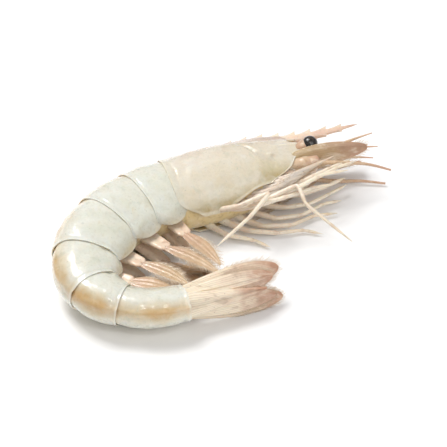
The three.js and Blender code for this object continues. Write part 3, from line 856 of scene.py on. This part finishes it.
def walking_legs(hairs, rng):
    for name, routes, side in (("legs_right", RIGHT_LEGS, 1), ("legs_left", LEFT_LEGS, -1)):
        piece = Piece("along", "tone")
        for number, route in enumerate(routes):
            thick = (0.95, 0.36) if number == 0 else (0.82, 0.3)
            jointed(piece, LEG_FRAME, route, *thick, claw=number in (1, 2, 3), rng=rng)
            root, knee = np.asarray(route[0], float), np.asarray(route[1], float)
            hip = [root + (-1.2, 3.4, -2.2 * side), root + (-0.4, 0.8, -0.6 * side), lerp(root, knee, 0.34)]
            bulge = lambda t: lerp(1.5, 0.84, t) * (1 + 0.1 * bump(t, 0.55, 0.06) - 0.1 * bump(t, 0.63, 0.04))
            add_rod(piece, LEG_FRAME, hip, bulge, rows=34, sides=16, tone=0.3)
            if number == 0:
                line = bent(route, 60)
                for way in ((0, -1, 0.3), (0, 0.6, 0.8 * side)):
                    roots = line[22:58]
                    ways = turned(np.asarray(way, float) + [0.9, 0, 0] + 0 * roots, LEG_FRAME)
                    add_bristles(hairs, place(roots, LEG_FRAME), ways, rng.uniform(0.8, 1.7, len(roots)), 0.04, rng)
        piece.build(name, leg_material)


def feelers(hairs, rng):
    stems = Piece("along", "tone")
    scales = Piece("along", "across", "tone")
    for side in (-1, 1):
        stem = [(30, 0.4, 2 * side), (37, 0.2, 2.1 * side), (43, 0, 2.3 * side)]

        def collars(t):
            return lerp(1.6, 0.9, t) * (1 + 0.14 * bump(t, 0.5, 0.05) + 0.14 * bump(t, 0.76, 0.05) - 0.1 * bump(t, 0.57, 0.04))

        add_rod(stems, HEAD, stem, collars, rows=40, sides=14)
        for spread in (-1, 1):
            route = [
                (42, 0.6 * spread, 2.3 * side),
                (47, 1.2 * spread - 0.2, 2.6 * side),
                (51.5, 1.9 * spread - 0.8, 3 * side),
            ]
            whip = lambda t: lerp(0.5, 0.14, t) * (1 + 0.05 * np.sin(t * 110))
            add_rod(stems, HEAD, route, whip, rows=90, sides=8, tone=0.5)
        base = [(29, -1.4, 2.4 * side), (33, -2.2, 3.5 * side), (36.2, -2.8, 4.2 * side)]
        socket = lambda t: lerp(2.1, 1.4, t) * (1 + 0.1 * bump(t, 0.5, 0.08)) * np.sqrt(1.02 - smooth(t, 0.88, 1) ** 2)
        add_rod(stems, HEAD, base, socket, rows=24, sides=16)
        route = [(34.5, -3.0, 4.3 * side), (41, -5.2, 4.9 * side), (47, -7.2, 4.4 * side), (52, -9.8, 3.6 * side)]
        rings = lambda t: lerp(0.66, 0.26, t**0.8) * (1 + 0.06 * np.sin(t * 160))
        add_rod(stems, HEAD, route, rings, rows=150, sides=8, tone=0.7)
        route = [(28, -0.6, 3 * side), (38, -1.8, 4.3 * side), (48.5, -2.6, 4 * side)]
        across = (0, 0.75 * side, 1)
        rims = add_blade(scales, HEAD, route, leaf(3.1, 0.4, 1.6, 0.6, blunt=0.7), taper(0.42, 0.16, round_end=False), across,
                         cup=0.14, ribs=((0.6 * side, 0.9, 0.12), (-0.1, 0.4, 0.2), (0.25, 0.3, 0.1)))
        inner, outer = ((0.4, 1.0), (0.85, 1.0))[::side]
        fringe(hairs, HEAD, rims, (inner, outer), 0.2, 2.2, rng)
    scales.build("feeler_scales", scale_painted_shade_material)
    return stems.build("feelers", feeler_material)


MOUTH_BRANCHES = 9
FACE_LOBES = [
    ((27.5, -2.2, 1.0), (7.2, 4.0, 3.0)),
    ((28.0, -4.4, 1.7), (6.0, 2.4, 1.9)),
    ((25.5, -5.8, 1.3), (6.4, 2.0, 1.6)),
    ((31.5, -3.6, 1.9), (4.2, 1.5, 1.6)),
]


def mouthparts(hairs, rng):
    """The face under the eyes and the slender branches that lie along the carapace's rising lower edge."""
    piece = Piece("along", "tone")
    for number, (at, radii) in enumerate(FACE_LOBES):
        for side in (-1, 1):
            ball(piece, HEAD, (at[0], at[1], at[2] * side), radii, rows=30, sides=32, relief=0.16,
                 along=0.5, tone=0.35 + 0.1 * number)
    for side in (-1, 1):
        for number in range(MOUTH_BRANCHES):
            share = number / (MOUTH_BRANCHES - 1)
            start = lerp(9.5, 21, share)
            low = lerp(-9.6, -5.6, share) + rng.uniform(-0.25, 0.25)
            out = lerp(4.2, 4.9, share) + rng.uniform(-0.2, 0.2)
            route = [
                (start, low + 2.2, (out - 1.6) * side),
                (start + 4.5, low + 0.2, (out + 0.1) * side),
                (start + 10, low + 0.7, (out + 0.5) * side),
                (start + lerp(15.5, 18, share) + rng.uniform(-1, 1), low + 2.6, (out - 0.3) * side),
            ]
            across = (0, 0.9, 0.75 * side)
            rims = add_blade(piece, HEAD, route, leaf(0.78, 0.3, 0.6, 0.1), taper(0.5, 0.16), across,
                             ribs=((0.1, 0.6, 0.25),), rows=44, columns=11, tone=rng.uniform(0, 0.5))
            fringe(hairs, HEAD, rims, ((0.35, 1.0), (0.35, 1.0)), 0.3, 1.3, rng)
        for number in range(4):
            centre = (18.5 + 2.9 * number, -6.4 + 0.8 * number, 3.0 * side)
            ball(piece, HEAD, centre, (2.6, 1.9, 1.7), rows=12, sides=14, along=0.4, tone=0.3 + 0.15 * number)
    return piece.build("mouthparts", face_material)


# Swimmerets: a flat basal piece and two leaf-shaped blades under each of the first five segments

SWIMMERETS = [
    {"back": -2, "bend": -12, "length": 20.5},
    {"back": -2, "bend": -16, "length": 22.5},
    {"back": 12, "bend": -11, "length": 20},
    {"back": 24, "bend": -10, "length": 17},
    {"back": 46, "bend": -6, "length": 14},
]
BASAL_SHARE = 0.36
BODY_DROOP = -3.2


def swimmerets(hairs, rng):
    bases = Piece("along", "across", "tone")
    blades = Piece("along", "across", "tone")
    for index, kind in enumerate(SWIMMERETS):
        segment = SEGMENTS[index]
        frame_at = body_frame(segment["start"] + 0.45 * segment["length"], 0)
        base = BASAL_SHARE * kind["length"]
        for side in (-1, 1):
            def step(start, angle, distance, z, side=side):
                way = math.radians(angle)
                return (start[0] - math.sin(way) * distance, start[1] - math.cos(way) * distance, BODY_DROOP + side * z)

            root = (0, 4.6 - segment["side"], BODY_DROOP + 1.4 * side)
            middle = step(root, kind["back"], 0.55 * base, 2.0)
            knee = step(root, kind["back"], base + 1, 2.6)
            shape = lambda t: lerp(2.4, 1.55, t) * np.sqrt(1.03 - smooth(t, 0.84, 1.03) ** 2)
            flat = lambda t: lerp(1.0, 0.5, t) * np.sqrt(1.03 - smooth(t, 0.8, 1.02) ** 2)
            add_blade(bases, frame_at, [root, middle, knee], shape, flat, (1, 0, 0), cup=-0.12 * side,
                      ribs=((0.75, 0.25, 0.16), (-0.7, 0.2, 0.2), (0.15, -0.16, 0.2)), rows=30, columns=19,
                      tone=rng.uniform(0, 0.4))

            def blade(turn, share, half, lift):
                reach = share * kind["length"] - base
                angle = kind["back"] + kind["bend"]
                start = step(knee, angle + turn, -1.8, 2.3)
                half_way = step(knee, angle + turn, 0.5 * reach, 2.9 + 0.5 * lift)
                tip = step(knee, angle + 1.6 * turn, reach, 2.6 + lift)
                rims = add_blade(blades, frame_at, [start, half_way, tip], leaf(half, 0.42, 0.6, 0.2, blunt=0.8),
                                 taper(0.42, 0.13, round_end=False), (1, 0, 0), cup=-0.18 * side,
                                 ribs=((0.0, 0.9, 0.2), (-0.6, 0.3, 0.1), (0.6, 0.3, 0.1)), rows=46, columns=19,
                                 tone=rng.uniform(0, 0.8))
                fringe(hairs, frame_at, rims, ((0.26, 1.0), (0.26, 1.0)), 0.17, 2.1, rng)

            blade(4, 1, 1.8, 0.2)
            if index > 0:
                blade(-9, 0.84, 1.35, -1.1)
    bases.build("swimmeret_bases", base_material)
    return blades.build("swimmeret_blades", swimmeret_painted_shade_material)


# Tail fan: the pointed middle piece, and an inner and an outer blade on each side

FAN_BLADES = [
    {"length": 22, "half": 2.7, "spread": 0.5, "start": 2.1, "height": 1.1},
    {"length": 24, "half": 3.1, "spread": 2, "start": 2.7, "height": -0.4},
]


def tail_fan(hairs, rng):
    middle = Piece("along", "across", "tone")
    route = [(3, 2.5, 0), (-6, 2.6, 0), (-19.5, 2.2, 0)]
    add_blade(middle, TAIL, route, lambda t: lerp(3.3, 0.3, t**1.2), lambda t: lerp(1.7, 0.35, t), (0, 0, 1), cup=-0.1,
              ribs=((0, -0.42, 0.2), (0.42, 0.16, 0.14), (-0.42, 0.16, 0.14)), rows=60, columns=31)
    middle.build("tail_middle", tail_material)

    blades = Piece("along", "across", "tone")
    for side in (-1, 1):
        ball(blades, TAIL, (-0.5, -0.6, 2.0 * side), (2.6, 1.9, 1.6), along=0.0, rows=24, sides=28)
        for number, blade in enumerate(FAN_BLADES):
            way = math.radians(blade["spread"])

            def at(share, drop):
                length = blade["length"] * share
                return (-length * math.cos(way), blade["height"] - drop, side * (blade["start"] + length * math.sin(way)))

            ribs = ((-0.25 * side, 0.9, 0.09), (0.15 * side, 0.8, 0.09), (0.9, 0.45, 0.1), (-0.9, 0.45, 0.1))
            rims = add_blade(blades, TAIL, [at(0, 0), at(0.5, -0.3), at(1, 0.9)], leaf(blade["half"], 0.6, 1.3, 0.1, blunt=0.5),
                             taper(0.6, 0.18, round_end=False), (0, -0.25 * side, 1), cup=0.1, ribs=ribs, rows=70,
                             columns=35, tone=0.3 * number)
            fringe(hairs, TAIL, rims, ((0.45, 1.0), (0.45, 1.0)), 0.16, 1.9, rng)
    return blades.build("tail_blades", tail_material)


# The animal

carapace()
for index in range(len(SEGMENTS)):
    plate(index)
flesh()
rostrum()
eyes()
hairs = Piece("along", "tone")
rng = np.random.default_rng(5)
feelers(hairs, rng)
mouthparts(hairs, rng)
walking_legs(hairs, rng)
swimmerets(hairs, rng)
hairs.build("bristles", bristle_material)
tail_hairs = Piece("along", "tone")
tail_fan(tail_hairs, rng)
tail_hairs.build("tail_bristles", bristle_material)


# Floor, light and camera

def studio():
    finish = Finish("floor")
    finish.set(Base_Color=finish.mix(finish.noise(40), colour(250, 250, 250), colour(246, 246, 246)), Roughness=0.6)
    mesh = bpy.data.meshes.new("floor")
    half = 1.5
    mesh.from_pydata([(-half, -half, 0), (half, -half, 0), (half, half, 0), (-half, half, 0)], [], [(0, 1, 2, 3)])
    mesh.materials.append(finish.material)
    floor = bpy.data.objects.new("floor", mesh)
    bpy.context.scene.collection.objects.link(floor)

    world = bpy.data.worlds.new("studio")
    world.use_nodes = True
    world.node_tree.nodes["Background"].inputs["Color"].default_value = (1, 1, 1, 1)
    world.node_tree.nodes["Background"].inputs["Strength"].default_value = 0.38
    bpy.context.scene.world = world
    for name, at, size, power in (
        ("key", (-0.25, 0.2, 0.6), 0.3, 3.7),
        ("fill", (0.4, -0.45, 0.4), 0.5, 1.5),
        ("glint", (0.05, -0.3, 0.5), 0.07, 0.3),
    ):
        light = bpy.data.lights.new(name, "AREA")
        light.shape = "SQUARE"
        light.size = size
        light.energy = power
        lamp = bpy.data.objects.new(name, light)
        lamp.location = at
        lamp.rotation_euler = (-Vector(at)).to_track_quat("-Z", "Y").to_euler()
        bpy.context.scene.collection.objects.link(lamp)


def camera():
    elevation = math.radians(42)
    target = Vector((0.0, 0.0005, 0.0068))
    distance = 1.0
    data = bpy.data.cameras.new("camera")
    data.sensor_width = 36
    data.lens = 340
    seen = bpy.data.objects.new("camera", data)
    away = Vector((0, -math.cos(elevation), math.sin(elevation)))
    seen.location = target + away * distance
    seen.rotation_euler = (-away).to_track_quat("-Z", "Y").to_euler()
    bpy.context.scene.collection.objects.link(seen)
    bpy.context.scene.camera = seen
    bpy.context.scene.view_settings.view_transform = "Standard"


studio()
camera()
